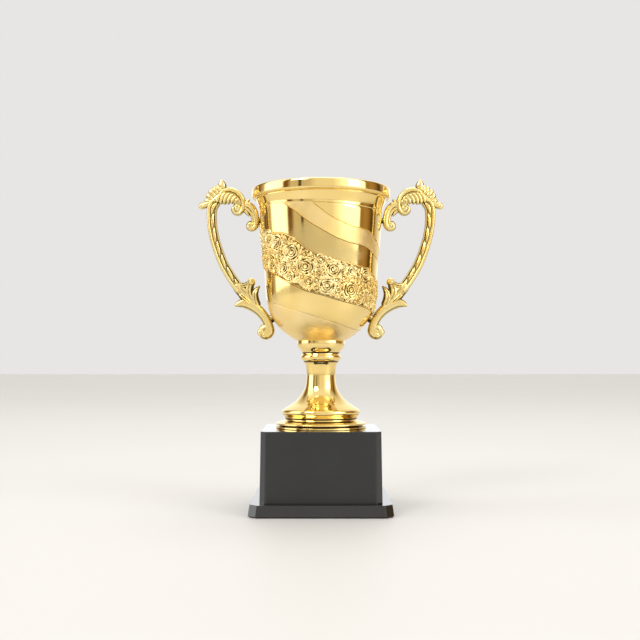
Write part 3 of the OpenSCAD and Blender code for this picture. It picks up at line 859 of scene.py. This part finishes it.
CREST_TIPS = [[66.5, 219.6], [69.6, 215.9], [72.2, 214.7], [74.6, 213.0], [76.4, 210.3],
              [77.5, 206.9]]
CREST_WEB = [[66.4, 213, 1.6], [69.7, 211.6, 2.6], [72.8, 209.2, 2.9], [75.2, 205.8, 2.2]]
LEAF_WEB = [[51.5, 140.2, 2.8], [47.8, 143.0, 3.3], [44.4, 145.4, 2.8]]
ARM_ROOT = [[57.6, 150.6, 3.2], [54.2, 146.2, 3.9], [50, 141.8, 4.0], [45.8, 137.6, 3.6],
            [42, 133.8, 3.2]]
LOWER_STEM = [
    [57.9, 134.8, 0.4], [55.4, 136.2, 2.2], [51.4, 137, 3.5], [47, 135.6, 3.7],
    [42.6, 132.8, 3.5], [39, 129.2, 3.25], [36.4, 125.2, 3.15], [34.8, 121.2, 3.15],
    [34.3, 118.2, 3.3], [35.8, 116.0, 3.3], [38.2, 115.9, 3.3], [39.3, 117.7, 3.1]
]
STEM_FOOT = [[34.8, 128.4, 2.0], [32.8, 127, 2.2], [31.6, 126.2, 2.3]]
# The acanthus leaf's lobes, each with its half thickness
LEAF_TIPS = [
    [[[45.6, 137.6, 3.2], [48.4, 142.6, 3.6], [48.3, 147.4, 3.3], [46.4, 151.4, 2.9]], 3.2],
    [[[41.8, 133.6, 2.8], [44.2, 138.2, 3.2], [44.4, 142.8, 2.6], [43, 146, 1.7],
      [40.9, 148.3, 0.4]], 2.9],
    [[[54.6, 143.6, 2.6], [51.6, 140.8, 2.4], [48.4, 137.9, 2.0], [45, 135, 1.6]], 3.3],
    [[[56.4, 148.4, 1.9], [53, 148.2, 2.2], [49.8, 149, 2.0], [47.6, 151, 1.6]], 3.4]
]
LOBE_GROOVES = ((0.02, 0.13, 0.16), (0.62, 0.1, 0.08), (-0.6, 0.1, 0.08))
ROOT_GROOVES = ((0.35, 0.12, 0.14), (-0.3, 0.12, 0.14))
STEM_GROOVES = ((0.72, 0.1, 0.08), (-0.72, 0.1, 0.08))

form = Form()
# Members given one even shade value, the cores and webs, are painted with shade all over
# Main arm: a plain core, a smooth outer rib, a twisted husk rope and a thin inner bead
strand(form, MAIN_ARM, 2.5, width=0.94, relief=0.35, steps=10)
strand(form, MAIN_ARM, 3.5, 0.58, 0.42, steps=10, edge=0.6)
strand(form, MAIN_ARM, 3.5, -0.2, 0.5, twist=(2, 19.0, 0.24), steps=18, sides=30)
strand(form, MAIN_ARM, 3.1, -0.8, 0.2, steps=10, sides=14)
# Top arm: smooth rib curling into a volute, with diagonal flutes under it
strand(form, TOP_ARM, 2.6, relief=0.6)
strand(form, TOP_RIB, [2.9, 3.5, 3.0], square=0.95, edge=0.6)
for top, foot in zip(FLUTE_TOPS, FLUTE_FEET):
    bend = [(top[0] + foot[0]) / 2 + 0.5, (top[1] + foot[1]) / 2 + 0.3]
    strand(form, [[*top, 1.15], [*bend, 1.5], [*foot, 1.35]], 3.3, steps=6, sides=18)
blob(form, 56.1, 200.0, 3.5, 3.3, 0.16, 0.3)
# Link scroll between the top arm and the bowl
strand(form, LINK, [2.6, 3.0, 2.8], square=0.95, edge=0.5)
strand(form, LINK_INNER, 2.4)
strand(form, LINK_LEAF, 2.1)
strand(form, LIP_LEAF, 2.2, round_b=False)
blob(form, 46.8, 188.8, 3.3, 3.2, 0.14, 0.6)
strand(form, LINK_FOOT, 2.2, relief=0.4)
# Spur, ending in a flared tip
strand(form, SPUR, [2.6, 2.6, 2.0], square=0.95, edge=0.6)
blob(form, 79.8, 201.7, 2.2, 2.5)
# Comb crest: ribs fanned out from the spur
base = smooth_line(CREST_BASE, 8)
for n, tip in enumerate(CREST_TIPS):
    foot = base[int(n / (len(CREST_TIPS) - 1) * (len(base) - 1))]
    mid = foot * 0.45 + np.array(tip) * 0.55
    wide, tip_wide = (1.9, 1.7) if n else (2.7, 0.5)
    strand(form, [[*foot, wide], [*mid, wide * 1.05], [*tip, tip_wide]], [2.8, 2.6, 1.9],
           sides=20)
strand(form, CREST_WEB, 1.7, relief=0.5)
# Acanthus cluster at the foot of the arm
strand(form, LEAF_WEB, 2.3, relief=0.55)
for lobe, thick in LEAF_TIPS:
    strand(form, lobe, [thick, thick, thick * 0.7], grooves=LOBE_GROOVES,
           round_b=lobe[-1][2] > 1, sides=32)
strand(form, ARM_ROOT, [3.3, 3.1, 2.6], grooves=ROOT_GROOVES, sides=32)
blob(form, 46.6, 150.9, 2.9, 3.7, 0.12, 0.1)
# Lower stem, hooked at its end, with raised edges
strand(form, LOWER_STEM, [2.4, 3.0, 2.8], grooves=STEM_GROOVES, steps=9, sides=36, edge=0.4)
blob(form, 36.7, 118.3, 5.2, 2.9, 0.08, 0.45)
blob(form, 39.9, 117.4, 2.9, 3.2)
strand(form, STEM_FOOT, 2.2, relief=0.4)
left = form.mirrored()
form.piece("handle_right_cast", "cup", "gold_plate", [gold_cast], ["handle_right"], 50)
left.piece("handle_left_cast", "cup", "gold_plate", [gold_cast], ["handle_left"], 50)

# ------------------------------------------------------- floor, light, camera
FLOOR_HALF = 6  # metres
mesh = bpy.data.meshes.new("floor")
corners = [(-FLOOR_HALF, -FLOOR_HALF, 0), (FLOOR_HALF, -FLOOR_HALF, 0),
           (FLOOR_HALF, FLOOR_HALF, 0), (-FLOOR_HALF, FLOOR_HALF, 0)]
mesh.from_pydata(corners, [], [(0, 1, 2, 3)])
floor = bpy.data.objects.new("floor", mesh)
bpy.context.scene.collection.objects.link(floor)
floor_mat, tree, bsdf = nodes_of("floor_pale")
at = object_coords(tree)
tree.links.new(blend_colour(tree, noise(tree, at, 3, 2), (0.59, 0.58, 0.565), (0.63, 0.62, 0.605)),
               bsdf.inputs["Base Color"])
bsdf.inputs["Roughness"].default_value = 0.55
mesh.materials.append(floor_mat)

world = bpy.data.worlds.new("studio")
bpy.context.scene.world = world
world.use_nodes = True
tree = world.node_tree
tree.nodes.clear()
out = tree.nodes.new("ShaderNodeOutputWorld")
coord = tree.nodes.new("ShaderNodeTexCoord")
mapping = tree.nodes.new("ShaderNodeMapping")
mapping.inputs["Rotation"].default_value = (0, 0, math.radians(90))
radial = tree.nodes.new("ShaderNodeTexGradient")
radial.gradient_type = "RADIAL"
tree.links.new(coord.outputs["Generated"], mapping.inputs["Vector"])
tree.links.new(mapping.outputs["Vector"], radial.inputs["Vector"])
# Soft boxes and warm gaps round the room: (degrees from the front towards +X, colour)
AROUND = [
    (-180, (1.25, 1.27, 1.3)), (-158, (1.2, 1.2, 1.2)), (-140, (0.60, 0.52, 0.42)),
    (-130, (0.14, 0.07, 0.02)), (-118, (0.30, 0.18, 0.08)), (-107, (0.7, 0.62, 0.5)),
    (-102, (2.3, 2.3, 2.3)), (-68, (2.3, 2.3, 2.3)), (-63, (0.18, 0.08, 0.02)),
    (-56, (0.20, 0.10, 0.03)), (-50, (0.68, 0.60, 0.48)), (-38, (0.64, 0.56, 0.45)),
    (-36, (0.06, 0.035, 0.01)), (-33, (0.06, 0.035, 0.01)), (-31, (0.60, 0.53, 0.42)),
    (-18, (0.68, 0.60, 0.48)), (-8, (0.92, 0.86, 0.76)), (20, (0.94, 0.88, 0.78)),
    (34, (1.4, 1.38, 1.35)), (44, (2.1, 2.1, 2.1)), (74, (2.3, 2.3, 2.3)),
    (79, (0.30, 0.18, 0.06)), (90, (0.42, 0.26, 0.10)), (98, (0.36, 0.21, 0.07)),
    (110, (0.07, 0.035, 0.01)), (122, (0.5, 0.38, 0.25)), (140, (0.9, 0.84, 0.76)),
    (158, (1.2, 1.2, 1.2)), (180, (1.25, 1.27, 1.3))
]
ring = tree.nodes.new("ShaderNodeValToRGB")
first, last = ring.color_ramp.elements
first.position, last.position = 0.0, 1.0
first.color, last.color = (*AROUND[0][1], 1), (*AROUND[-1][1], 1)
for degrees, colour in AROUND[1:-1]:
    stop = ring.color_ramp.elements.new((degrees + 180) / 360)
    stop.color = (*colour, 1)
tree.links.new(radial.outputs["Fac"], ring.inputs["Fac"])
parts = tree.nodes.new("ShaderNodeSeparateXYZ")
tree.links.new(coord.outputs["Generated"], parts.inputs["Vector"])
lift = span(tree, parts.outputs["Z"], 0.55, 0.85, 0, 1)
dome = blend_colour(tree, lift, ring.outputs["Color"], (1.0, 0.97, 0.91))
# The camera itself sees a plain pale room
path = tree.nodes.new("ShaderNodeLightPath")
seen = blend_colour(tree, path.outputs["Is Camera Ray"], dome, (0.80, 0.79, 0.775))
back = tree.nodes.new("ShaderNodeBackground")
tree.links.new(seen, back.inputs["Color"])
tree.links.new(back.outputs["Background"], out.inputs["Surface"])


def soft_light(name, place, aim, size, power):
    data = bpy.data.lights.new(name, "AREA")
    data.shape = "RECTANGLE"
    data.size, data.size_y = size
    data.energy = power
    obj = bpy.data.objects.new(name, data)
    bpy.context.scene.collection.objects.link(obj)
    obj.location = place
    direction = Vector(aim) - Vector(place)
    obj.rotation_euler = direction.to_track_quat("-Z", "Y").to_euler()
    obj.visible_camera = False


soft_light("key", (-0.9, -1.1, 1.2), (0, 0, 0.1), (0.7, 0.7), 11)
soft_light("fill", (1.3, -0.9, 0.8), (0, 0, 0.12), (0.6, 0.9), 5)
soft_light("top", (0.1, 0.3, 1.6), (0, 0, 0.1), (0.9, 0.9), 7)

camera_data = bpy.data.cameras.new("camera")
camera_data.lens = 54
camera_data.sensor_width = 36
camera_data.shift_x = -1 / 640
camera_data.shift_y = 0.0625
camera_data.clip_start = 0.01
camera = bpy.data.objects.new("camera", camera_data)
bpy.context.scene.collection.objects.link(camera)
camera.location = (0, -0.643, 0.0988)
camera.rotation_euler = (math.radians(90), 0, 0)
bpy.context.scene.camera = camera
bpy.context.scene.view_settings.view_transform = "Standard"
